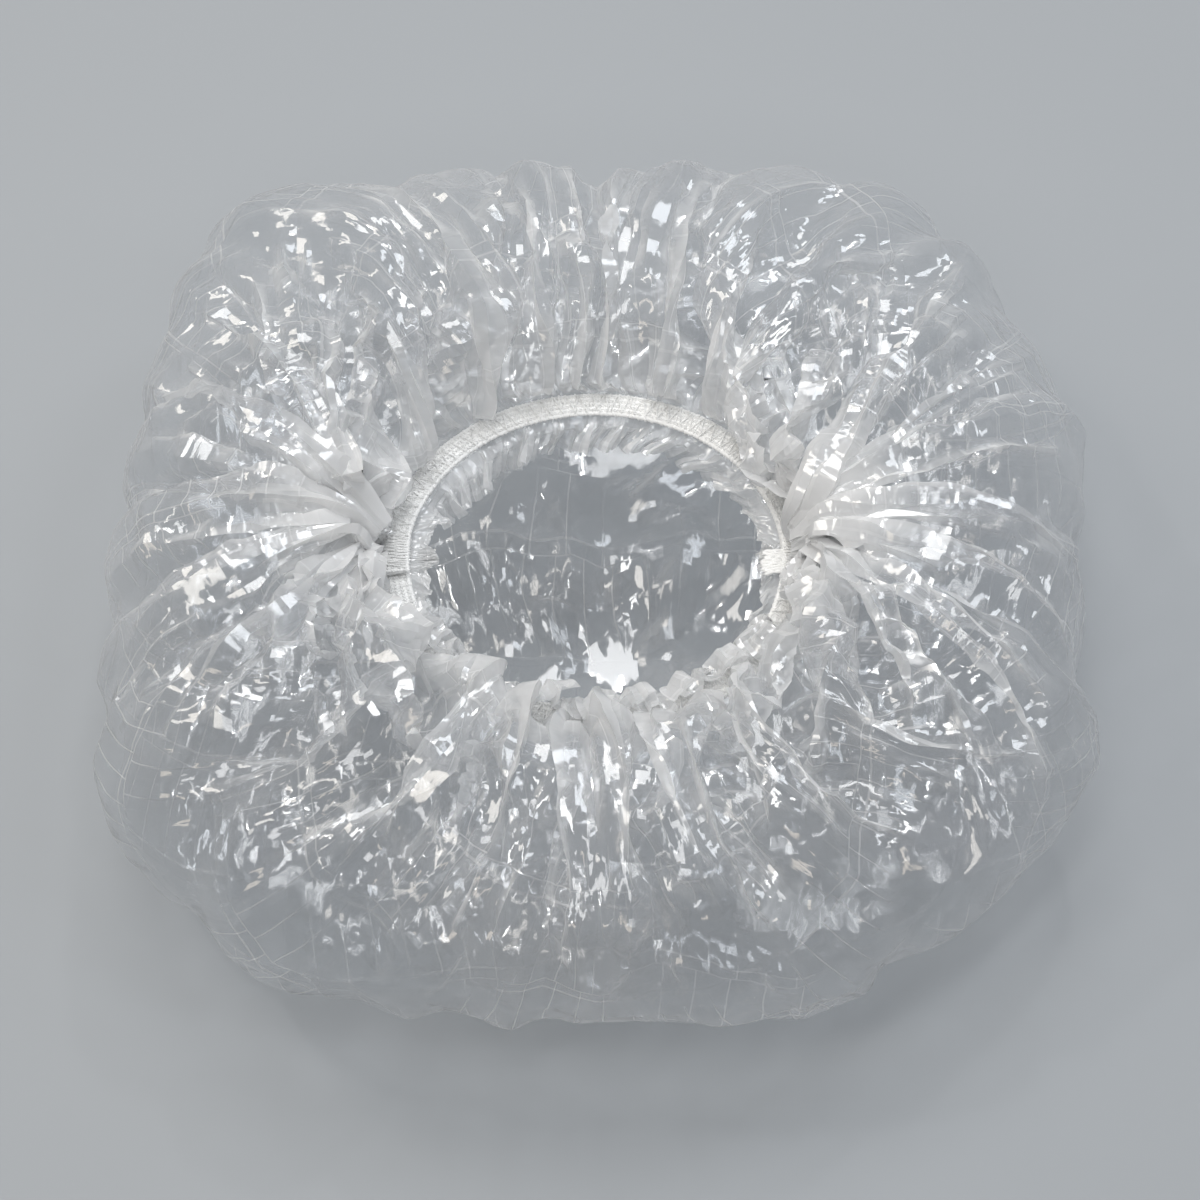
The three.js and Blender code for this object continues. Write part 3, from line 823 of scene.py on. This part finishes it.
def strand(path, radius, sides, facing, closed=False):
    """A round yarn or thread along a path; facing is any direction that the path never takes."""
    path = np.asarray(path, dtype=float)
    run = np.roll(path, -1, axis=0) - np.roll(path, 1, axis=0) if closed else np.gradient(path, axis=0)
    run /= np.linalg.norm(run, axis=1, keepdims=True)
    facing = np.asarray(facing, dtype=float)
    across = facing - run * (run @ facing)[:, None]
    across /= np.linalg.norm(across, axis=1, keepdims=True)
    upward = np.cross(run, across)
    radius = np.broadcast_to(radius, len(path))[:, None]
    turn = np.arange(sides) * TAU / sides
    circle = np.stack([np.cos(turn), np.sin(turn)], -1)
    return swept(path, across * radius, upward * radius, circle, closed)


def together(parts):
    """One set of points and faces from several."""
    points, faces, count = [], [], 0
    for part_points, part_faces in parts:
        points.append(part_points)
        faces += [tuple(k + count for k in face) for face in part_faces]
        count += len(part_points)
    return np.concatenate(points), faces


def shape(name, part, shift=(0, 0, 0)):
    points, faces = part
    mesh = bpy.data.meshes.new(name)
    mesh.from_pydata(((points + np.asarray(shift)) * MM).tolist(), [], faces)
    mesh.shade_smooth()
    piece = bpy.data.objects.new(name, mesh)
    bpy.context.collection.objects.link(piece)
    return piece


def path_object(name, path):
    curve = bpy.data.curves.new(name, "CURVE")
    curve.dimensions = "3D"
    spline = curve.splines.new("POLY")
    spline.points.add(len(path) - 1)
    for point, place in zip(spline.points, (path + CAP_SHIFT) * MM):
        point.co = (*place, 1)
    piece = bpy.data.objects.new(name, curve)
    bpy.context.collection.objects.link(piece)
    return piece


def node_tree(name, inputs):
    tree = bpy.data.node_groups.new(name, "GeometryNodeTree")
    for label, kind in inputs:
        tree.interface.new_socket(label, in_out="INPUT", socket_type="NodeSocket" + kind)
    tree.interface.new_socket("Geometry", in_out="OUTPUT", socket_type="NodeSocketGeometry")
    return tree, add(tree, "NodeGroupInput").outputs


def repeated_along_path():
    """One unit at every Spacing along the path, its x along the path and its z up, a little uneven."""
    tree, given = node_tree(
        "repeated_along_path",
        (("Path", "Geometry"), ("Unit", "Object"), ("Spacing", "Float"), ("Uneven", "Float"),
         ("Seed", "Int"), ("Material", "Material")),
    )
    line = add(
        tree, "GeometryNodeResampleCurve",
        {"Curve": given["Path"], "Length": given["Spacing"]}, mode="LENGTH",
    )
    slip = add(
        tree, "FunctionNodeRandomValue", {0: (-0.1, -0.3, -0.2), 1: (0.1, 0.3, 0.2), "Seed": given["Seed"]},
        data_type="FLOAT_VECTOR",
    )
    uneven = add(
        tree, "ShaderNodeVectorMath", {0: slip.outputs[0], "Scale": given["Uneven"]}, operation="SCALE"
    )
    moved = add(tree, "GeometryNodeSetPosition", {"Geometry": line.outputs[0], "Offset": uneven.outputs[0]})
    tangent = add(tree, "GeometryNodeInputTangent")
    level = add(
        tree, "FunctionNodeAxesToRotation",
        {"Primary Axis": (0, 0, 1), "Secondary Axis": tangent.outputs[0]},
        primary_axis="Z", secondary_axis="X",
    )
    twist = add(
        tree, "FunctionNodeRandomValue",
        {0: (-0.06, -0.06, -0.07), 1: (0.06, 0.06, 0.07), "Seed": given["Seed"]}, data_type="FLOAT_VECTOR",
    )
    turned = add(tree, "FunctionNodeEulerToRotation", {0: twist.outputs[0]})
    rotation = add(
        tree, "FunctionNodeRotateRotation", {0: level.outputs[0], 1: turned.outputs[0]},
        rotation_space="LOCAL",
    )
    unit = add(tree, "GeometryNodeObjectInfo", {"Object": given["Unit"]})
    units = add(
        tree, "GeometryNodeInstanceOnPoints",
        {"Points": moved.outputs[0], "Instance": unit.outputs["Geometry"], "Rotation": rotation.outputs[0]},
    )
    solid = add(tree, "GeometryNodeRealizeInstances", {0: units.outputs[0]})
    finished = add(
        tree, "GeometryNodeSetMaterial", {"Geometry": solid.outputs[0], "Material": given["Material"]}
    )
    add(tree, "NodeGroupOutput", {"Geometry": finished.outputs[0]})
    return tree


def fuzz_on_surface():
    """The surface with short loose fibres scattered over it, each leaning its own way."""
    tree, given = node_tree(
        "fuzz_on_surface",
        (("Surface", "Geometry"), ("Fibre", "Object"), ("Fibres per square metre", "Float"),
         ("Seed", "Int"), ("Material", "Material")),
    )
    roots = add(
        tree, "GeometryNodeDistributePointsOnFaces",
        {"Mesh": given["Surface"], "Density": given["Fibres per square metre"], "Seed": given["Seed"]},
    )
    lean = add(
        tree, "FunctionNodeRandomValue", {0: (-1.1, -1.1, -3.1), 1: (1.1, 1.1, 3.1), "Seed": given["Seed"]},
        data_type="FLOAT_VECTOR",
    )
    turned = add(tree, "FunctionNodeEulerToRotation", {0: lean.outputs[0]})
    rotation = add(
        tree, "FunctionNodeRotateRotation", {0: roots.outputs["Rotation"], 1: turned.outputs[0]},
        rotation_space="LOCAL",
    )
    length = add(tree, "FunctionNodeRandomValue", {2: 0.4, 3: 1.3, "Seed": given["Seed"]}, data_type="FLOAT")
    fibre = add(tree, "GeometryNodeObjectInfo", {"Object": given["Fibre"]})
    fibres = add(
        tree, "GeometryNodeInstanceOnPoints",
        {"Points": roots.outputs[0], "Instance": fibre.outputs["Geometry"], "Rotation": rotation.outputs[0],
         "Scale": length.outputs[1]},
    )
    solid = add(tree, "GeometryNodeRealizeInstances", {0: fibres.outputs[0]})
    both = add(tree, "GeometryNodeJoinGeometry")
    tree.links.new(given["Surface"], both.inputs[0])
    tree.links.new(solid.outputs[0], both.inputs[0])
    finished = add(
        tree, "GeometryNodeSetMaterial", {"Geometry": both.outputs[0], "Material": given["Material"]}
    )
    add(tree, "NodeGroupOutput", {"Geometry": finished.outputs[0]})
    return tree


def made_by(tree, base, name, values):
    """Runs a node tree on an object and returns the result as a plain mesh object."""
    modifier = base.modifiers.new(name, "NODES")
    modifier.node_group = tree
    for item in tree.interface.items_tree:
        if item.in_out == "INPUT" and item.name in values:
            modifier[item.identifier] = values[item.name]
    seen = base.evaluated_get(bpy.context.evaluated_depsgraph_get())
    mesh = bpy.data.meshes.new_from_object(seen)
    mesh.name = name
    base.modifiers.remove(modifier)
    bpy.data.objects.remove(base)
    piece = bpy.data.objects.new(name, mesh)
    bpy.context.collection.objects.link(piece)
    return piece


def as_one(name, objects, material):
    """Joins finished mesh objects into one piece of one material."""
    joined = bmesh.new()
    for part in objects:
        joined.from_mesh(part.data)
        bpy.data.objects.remove(part)
    for face in joined.faces:
        face.material_index = 0
        face.smooth = True
    mesh = bpy.data.meshes.new(name)
    joined.to_mesh(mesh)
    joined.free()
    mesh.materials.append(material)
    piece = bpy.data.objects.new(name, mesh)
    bpy.context.collection.objects.link(piece)
    return piece


def rib_unit():
    """One course of the knit: a yarn round the band, and on top one loop of each of its chains."""
    turn = np.arange(18) * TAU / 18
    half_width, half_height = ELASTIC_WIDTH / 2 - YARN_RADIUS, ELASTIC_THICKNESS / 2 - YARN_RADIUS
    c, s = np.cos(turn), np.sin(turn)
    y = half_width * np.sign(c) * np.abs(c) ** 0.55
    z = half_height * np.sign(s) * np.abs(s) ** 0.8
    ring = np.stack([0.12 * c * np.sign(s), y, z], -1)
    parts = [strand(ring, YARN_RADIUS, 5, (1, 0, 0), closed=True)]
    top = ELASTIC_THICKNESS / 2 - 0.02
    half_loop = ((-0.34, 0.17, -0.14), (-0.05, 0.19, 0.02), (0.3, 0.05, 0.05))
    for chain in CHAINS:
        loop = [(x, chain - y, top + z) for x, y, z in half_loop]
        loop += [(x, chain + y, top + z) for x, y, z in reversed(half_loop)]
        parts.append(strand(loop, LOOP_RADIUS, 4, (0, 0, 1)))
    return shape("rib_unit", together(parts))


def fibre_unit():
    """A loose filament about 1 mm long, drawn thick enough to show."""
    path = [(0, 0, -0.1), (0.05, 0.02, 0.3), (0.2, 0.04, 0.65), (0.45, 0, 0.9)]
    return shape("fibre_unit", strand(path, (0.03, 0.028, 0.022, 0.01), 3, (0, 1, 0)))


def elastic_lift(angle, start):
    end = start + math.pi
    overlap = ELASTIC_OVERLAP / OPENING_DEPTH
    rise = ELASTIC_RISE * 2 / OPENING_DEPTH
    return STACK_HEIGHT * smoothstep(angle, end - overlap - rise, end - overlap)


def elastic_path(start, steps):
    """The middle line of the elastic that runs anticlockwise from start round half of the opening."""
    overlap = ELASTIC_OVERLAP / OPENING_DEPTH
    angle = np.linspace(start - overlap, start + math.pi + overlap, steps)
    height = ELASTIC_BOTTOM + ELASTIC_THICKNESS / 2 + elastic_lift(angle, start)
    return np.concatenate([opening_point(angle, 0), height[:, None]], -1)


def flat_section(width, height, corner):
    w, h = width / 2, height / 2
    return [
        (w - corner, -h), (w, corner - h), (w, h - corner), (w - corner, h),
        (corner - w, h), (-w, h - corner), (-w, corner - h), (corner - w, -h),
    ]


def level_bar(path, width, height):
    run = np.gradient(path, axis=0)
    across = np.cross((0, 0, 1), run)
    across /= np.linalg.norm(across, axis=1, keepdims=True)
    upward = np.cross(run, across)
    upward /= np.linalg.norm(upward, axis=1, keepdims=True)
    return swept(path, across, upward, flat_section(width, height, CORE_INSET))


TAIL_CORDS = 9
HAIRS_PER_CORD = 5


def tail_parts(random):
    """The cut end of the front elastic, turned into the opening: cords side by side, frayed out."""
    root = np.array([OPENING_WIDTH / 2 + ELASTIC_WIDTH / 2, OPENING_CENTRE_Y - TAIL_OFFSET, 0])
    root[2] = ELASTIC_BOTTOM + ELASTIC_THICKNESS / 2 + STACK_HEIGHT
    reach = ELASTIC_WIDTH + TAIL_LENGTH
    parts = []
    share = np.linspace(0, 1, 26)
    for k in range(TAIL_CORDS):
        beside = ((k + 0.5) / TAIL_CORDS - 0.5) * (ELASTIC_WIDTH - CORE_INSET)
        length = reach + random.uniform(-0.35, 0.35)
        free = np.maximum(share * length - ELASTIC_WIDTH, 0) / TAIL_LENGTH
        path = root + np.stack([-share * length, np.full(26, beside), -TAIL_DROOP * free**2], -1)
        path[:, 1] += 0.07 * np.sin(share * 26 + k * 2.1) + 0.1 * free * beside
        path[:, 2] += 0.1 * np.sin(share * 31 + k * 1.3)
        parts.append(strand(path, 0.31 - 0.1 * (share > 0.98), 6, (0, 0, 1)))
        for _ in range(HAIRS_PER_CORD):
            tip = path[-1] + random.uniform(-0.12, 0.12, 3)
            stray = random.uniform(-0.9, 0.9, 2)
            out = random.uniform(0.5, 1.3)
            hair = tip + np.outer([-0.5, 0, 0.5, 1], [-out, 0, 0])
            hair[:, 1] += stray[0] * np.array([0, 0, 0.3, 1]) * 0.5
            hair[:, 2] += stray[1] * np.array([0, 0, 0.3, 1]) * 0.4
            parts.append(strand(hair, (0.04, 0.04, 0.035, 0.015), 3, (0, 0, 1)))
    return together(parts)


repeat_tree = repeated_along_path()
fuzz_tree = fuzz_on_surface()


def yarn_material():
    """Textured polyester yarn, knitted: bright matt white, each yarn a soft bundle of fine filaments."""
    material, tree = new_material("knitted_polyester_yarn")
    place = add(tree, "ShaderNodeTexCoord")
    strands = add(
        tree, "ShaderNodeTexNoise",
        {"Vector": place.outputs["Object"], "Scale": 1 / (0.2 * MM), "Detail": 2.0},
    )
    relief = add(
        tree, "ShaderNodeBump", {"Height": strands.outputs["Fac"], "Strength": 0.4, "Distance": 0.06 * MM}
    )
    tone = add(
        tree, "ShaderNodeTexNoise",
        {"Vector": place.outputs["Object"], "Scale": 1 / (1.4 * MM), "Detail": 2.0},
    )
    colour = add(
        tree, "ShaderNodeMix",
        {"Factor": tone.outputs["Fac"], 6: (*linear("#F9F9F8"), 1), 7: (*linear("#FFFFFE"), 1)},
        data_type="RGBA",
    )
    surface = add(
        tree, "ShaderNodeBsdfPrincipled",
        {"Base Color": colour.outputs[2], "Roughness": 0.75, "Sheen Weight": 0.25, "Sheen Roughness": 0.4,
         "Normal": relief.outputs[0]},
    )
    add(tree, "ShaderNodeOutputMaterial", {"Surface": surface.outputs[0]})
    return material


def thread_material():
    """Spun polyester sewing thread: smoother and a little brighter than the yarn, twisted."""
    material, tree = new_material("spun_polyester_thread")
    place = add(tree, "ShaderNodeTexCoord")
    # at this scale a band of the twist is about 0.2 mm wide
    ply = add(
        tree, "ShaderNodeTexWave", {"Vector": place.outputs["Object"], "Scale": 1400.0, "Distortion": 3.0},
        wave_type="BANDS", bands_direction="DIAGONAL",
    )
    relief = add(
        tree, "ShaderNodeBump", {"Height": ply.outputs["Fac"], "Strength": 0.5, "Distance": 0.06 * MM}
    )
    tone = add(
        tree, "ShaderNodeTexNoise",
        {"Vector": place.outputs["Object"], "Scale": 1 / (1.1 * MM), "Detail": 2.0},
    )
    colour = add(
        tree, "ShaderNodeMix",
        {"Factor": tone.outputs["Fac"], 6: (*linear("#F6F6F5"), 1), 7: (*linear("#FDFDFC"), 1)},
        data_type="RGBA",
    )
    surface = add(
        tree, "ShaderNodeBsdfPrincipled",
        {"Base Color": colour.outputs[2], "Roughness": 0.5, "Normal": relief.outputs[0]},
    )
    add(tree, "ShaderNodeOutputMaterial", {"Surface": surface.outputs[0]})
    return material


YARN = yarn_material()
THREAD = thread_material()


def knitted_elastic(name, start, seed, extra=()):
    path = elastic_path(start, 120)
    bar = level_bar(path, ELASTIC_WIDTH - CORE_INSET, ELASTIC_THICKNESS - CORE_INSET)
    fuzzy = made_by(
        fuzz_tree, shape("core", bar, CAP_SHIFT), "fuzzy_core",
        {"Fibre": fibre, "Fibres per square metre": FIBRES_PER_SQUARE_METRE, "Seed": seed,
         "Material": YARN},
    )
    ribs = made_by(
        repeat_tree, path_object("rib_line", path), "ribs",
        {"Unit": rib, "Spacing": RIB_PITCH * MM, "Uneven": UNEVENNESS * MM, "Seed": seed, "Material": YARN},
    )
    piece = as_one(name, [fuzzy, ribs, *extra], YARN)
    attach(piece, "root")
    return piece


rib = rib_unit()
fibre = fibre_unit()
tail = shape("tail", tail_parts(np.random.default_rng(3)), CAP_SHIFT)
elastic_back = knitted_elastic("knitted_elastic_back", 0, 1)
elastic_front = knitted_elastic("knitted_elastic_front", math.pi, 2, [tail])
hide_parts("elastic_back")
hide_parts("elastic_front")
bpy.data.objects.remove(rib)
bpy.data.objects.remove(fibre)

# Stitches: a zigzag of thread holds each elastic to the film, and a bar tack each pair of ends

THREAD_RADIUS = 0.1
ZIGZAG_PITCH = 2
ZIGZAG_REACH = ELASTIC_WIDTH / 2 - 0.5
TACK_PITCH = 0.5
DIP = 0.3  # how deep the thread goes in at a turn
ARCH = ((0, 0), (0.05, 0.26), (0.16, 0.4), (0.5, 0.44), (0.84, 0.4), (0.95, 0.26), (1, 0))  # share, rise


def zigzag_unit(pitch, reach):
    """One there and back of the thread across the band, dipping in at each turn."""
    parts = []
    share, rise = np.array(ARCH, dtype=float).T
    for side in (-1, 1):
        ends = np.array([[0, -side * reach, -DIP], [pitch / 2, side * reach, -DIP]])
        ends[:, 0] += -pitch / 2 if side < 0 else 0
        leg = ends[0] * (1 - share[:, None]) + ends[1] * share[:, None]
        leg[:, 2] += rise
        parts.append(strand(leg, THREAD_RADIUS, 6, (0, 0, 1)))
    return shape("stitch_unit", together(parts))


def stitched(name, node, start, first, last, pitch, seed):
    """Stitches on top of the elastic, between two angles past its start. Their node is replaced."""
    angle = np.linspace(start + first, start + last, 90)
    height = ELASTIC_BOTTOM + ELASTIC_THICKNESS + elastic_lift(angle, start) + THREAD_RADIUS / 2
    path = np.concatenate([opening_point(angle, 0), height[:, None]], -1)
    unit = zigzag_unit(pitch, ZIGZAG_REACH)
    stitches = made_by(
        repeat_tree, path_object("stitch_line", path), "stitches",
        {"Unit": unit, "Spacing": pitch * MM, "Uneven": UNEVENNESS * MM, "Seed": seed,
         "Material": THREAD},
    )
    bpy.data.objects.remove(unit)
    piece = as_one(name, [stitches], THREAD)
    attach(piece, "root")
    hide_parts(node)


# A band's zigzag begins past the end of the other band that lies on it, and stops short of the tack
clear_of_overlap = ELASTIC_OVERLAP / OPENING_DEPTH + ELASTIC_RISE * 2 / OPENING_DEPTH
mean_radius = (OPENING_WIDTH + OPENING_DEPTH) / 4
end_radius = OPENING_DEPTH**2 / 2 / OPENING_WIDTH
before_tack = (TACK_LENGTH / 2 + ZIGZAG_PITCH) / mean_radius
half_tack = TACK_LENGTH / 2 / end_radius
for side, start, tack_side in (("back", 0, "left"), ("front", math.pi, "right")):
    stitched(
        "seam_stitches_" + side, "seam_thread_" + side, start, clear_of_overlap, math.pi - before_tack,
        ZIGZAG_PITCH, 5,
    )
    stitched(
        "tack_stitches_" + tack_side, "bar_tack_" + tack_side, start, math.pi - half_tack,
        math.pi + half_tack, TACK_PITCH, 6,
    )

# Studio, in metres

FLOOR_COLOUR = "#A3A7AB"
BACKDROP_COLOUR = "#AAAEB2"
FLOOR_HALF = 3.0
FLOOR_GAP = 0.3 * MM  # so that the film's lowest points don't lie in the floor's face
FLOOR_FADES = (0.25, 0.8)  # distances between which the floor turns to the even tone of the backdrop
WORLD_STRENGTH = 0.08


def shown_background(tree):
    """1 for a ray from the camera, and for one that the film mirrors."""
    rays = add(tree, "ShaderNodeLightPath").outputs
    return add(
        tree, "ShaderNodeMath", {0: rays["Is Camera Ray"], 1: rays["Is Glossy Ray"]}, operation="MAXIMUM"
    ).outputs[0]


def make_floor():
    mesh = bpy.data.meshes.new("floor")
    corners = [(x * FLOOR_HALF, y * FLOOR_HALF, 0) for x, y in ((-1, -1), (1, -1), (1, 1), (-1, 1))]
    mesh.from_pydata(corners, [], [(0, 1, 2, 3)])
    mesh.transform(Matrix.Translation((0, 0, -FLOOR_GAP)))
    floor = bpy.data.objects.new("floor", mesh)
    bpy.context.collection.objects.link(floor)
    material, tree = new_material("pale_studio_floor")
    surface = add(
        tree, "ShaderNodeBsdfPrincipled", {"Base Color": (*linear(FLOOR_COLOUR), 1), "Roughness": 0.6}
    )
    # Far off it keeps the tone of the lit middle, up to the horizon
    place = add(tree, "ShaderNodeTexCoord").outputs["Object"]
    away = add(tree, "ShaderNodeVectorMath", {0: place}, operation="LENGTH").outputs[1]
    far = add(
        tree, "ShaderNodeMapRange",
        {"Value": away, "From Min": FLOOR_FADES[0], "From Max": FLOOR_FADES[1]},
        interpolation_type="SMOOTHSTEP",
    )
    share = add(
        tree, "ShaderNodeMath", {0: far.outputs[0], 1: shown_background(tree)}, operation="MULTIPLY"
    )
    even = add(tree, "ShaderNodeEmission", {"Color": (*linear(BACKDROP_COLOUR), 1)})
    both = add(
        tree, "ShaderNodeMixShader", {0: share.outputs[0], 1: surface.outputs[0], 2: even.outputs[0]}
    )
    add(tree, "ShaderNodeOutputMaterial", {"Surface": both.outputs[0]})
    mesh.materials.append(material)


def area_light(name, place, size, power, tint):
    data = bpy.data.lights.new(name, "AREA")
    data.color = linear(tint)
    data.shape = "RECTANGLE"
    data.size, data.size_y = size
    data.energy = power
    light = bpy.data.objects.new(name, data)
    light.location = place
    light.visible_camera = False  # the low one would stand in the picture from behind
    light.rotation_euler = (CAMERA_AIM - Vector(place)).to_track_quat("-Z", "Y").to_euler()
    bpy.context.collection.objects.link(light)


make_floor()

# Softboxes, a metre away: direction and height in degrees, width, length, power in watts and tint
SOFTBOXES = (
    ("back", 100, 64, 0.5, 0.36, 3.0, "#FFFFFF"),
    ("back_left", 150, 42, 0.2, 0.6, 1.9, "#FFF8EE"),
    ("back_right", 38, 44, 0.2, 0.6, 1.9, "#F4F9FF"),
    ("left", 205, 50, 0.14, 0.5, 1.1, "#FFFAF2"),
    ("right", -22, 52, 0.14, 0.5, 1.1, "#F6FAFF"),
    ("top", 230, 82, 0.14, 0.4, 1.6, "#FFFFFF"),
    ("front", 266, 48, 0.5, 0.16, 1.0, "#FFFFFF"),
    ("low_front", 262, 17, 0.8, 0.08, 0.6, "#FFF1DE"),
    ("small_back", 74, 58, 0.05, 0.05, 0.5, "#FFFFFF"),
    ("small_left", 158, 56, 0.05, 0.05, 0.5, "#FFFFFF"),
)
for name, direction, height, width, length, power, tint in SOFTBOXES:
    across, rise = math.cos(math.radians(height)), math.sin(math.radians(height))
    turn = math.radians(direction)
    place = (across * math.cos(turn), across * math.sin(turn), rise)
    area_light("softbox_" + name, place, (width, length), power, tint)

# Light passes many layers of film on its way
cycles = bpy.context.scene.cycles
cycles.transparent_max_bounces = 64
cycles.max_bounces = 7
cycles.diffuse_bounces = 4
cycles.glossy_bounces = 2

world = bpy.data.worlds.new("studio")
world.use_nodes = True
sky = world.node_tree
sky.nodes.clear()
dim = add(sky, "ShaderNodeBackground", {"Color": (1, 1, 1, 1), "Strength": WORLD_STRENGTH})
even = add(sky, "ShaderNodeBackground", {"Color": (*linear(BACKDROP_COLOUR), 1), "Strength": 1.0})
both = add(
    sky, "ShaderNodeMixShader", {0: shown_background(sky), 1: dim.outputs[0], 2: even.outputs[0]}
)
add(sky, "ShaderNodeOutputWorld", {"Surface": both.outputs[0]})
bpy.context.scene.world = world
bpy.context.scene.view_settings.view_transform = "Standard"
